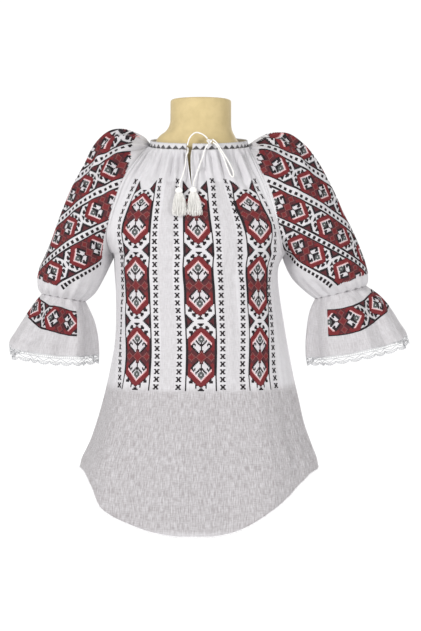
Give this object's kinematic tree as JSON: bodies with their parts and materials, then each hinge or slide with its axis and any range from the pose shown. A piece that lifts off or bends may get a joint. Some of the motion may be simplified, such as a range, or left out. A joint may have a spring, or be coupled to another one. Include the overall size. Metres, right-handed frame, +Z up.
{
  "type": "romanian ie blouse on a dress form",
  "caption": "Raglan folk blouse gathered into a neck band, tied with a tasselled cord, with full sleeves, cuff flounces and lace, worn by a limbless dress form on a low foot",
  "frame": {"origin": "centre of the underside of the form's foot, mount base_rest", "axes": "+Z up along the form, +X towards the viewer's right when the blouse is seen from the front, and -Y out of the blouse's front"},
  "size_m": [0.7557, 0.287, 0.81],
  "materials": {
    "white_cotton": "matte slubby cotton, cross-stitched in red and black where it is embroidered",
    "white_lace": "matte crocheted cotton",
    "band_cotton": "matte cotton band with a row of dark stitches",
    "cream_cord": "twisted cotton thread",
    "beige_form": "smooth, softly shiny",
    "foot": "dark, matte"
  },
  "bodies": {
    "root": {"blouse_front": "white_cotton", "blouse_back": "white_cotton", "sleeve_left": "white_cotton", "sleeve_right": "white_cotton", "flounce_left": "white_cotton", "flounce_right": "white_cotton", "lace_left_front": "white_lace", "lace_left_back": "white_lace", "lace_right_front": "white_lace", "lace_right_back": "white_lace", "neck_band": "band_cotton", "drawstring_arch": "cream_cord", "drawstring_bow": "cream_cord", "drawstring_tail_left": "cream_cord", "drawstring_tail_right": "cream_cord", "bow_knot": "cream_cord", "tassel_left": "cream_cord", "tassel_right": "cream_cord", "dress_form": "beige_form", "form_base": "foot"}
  },
  "joints": []
}
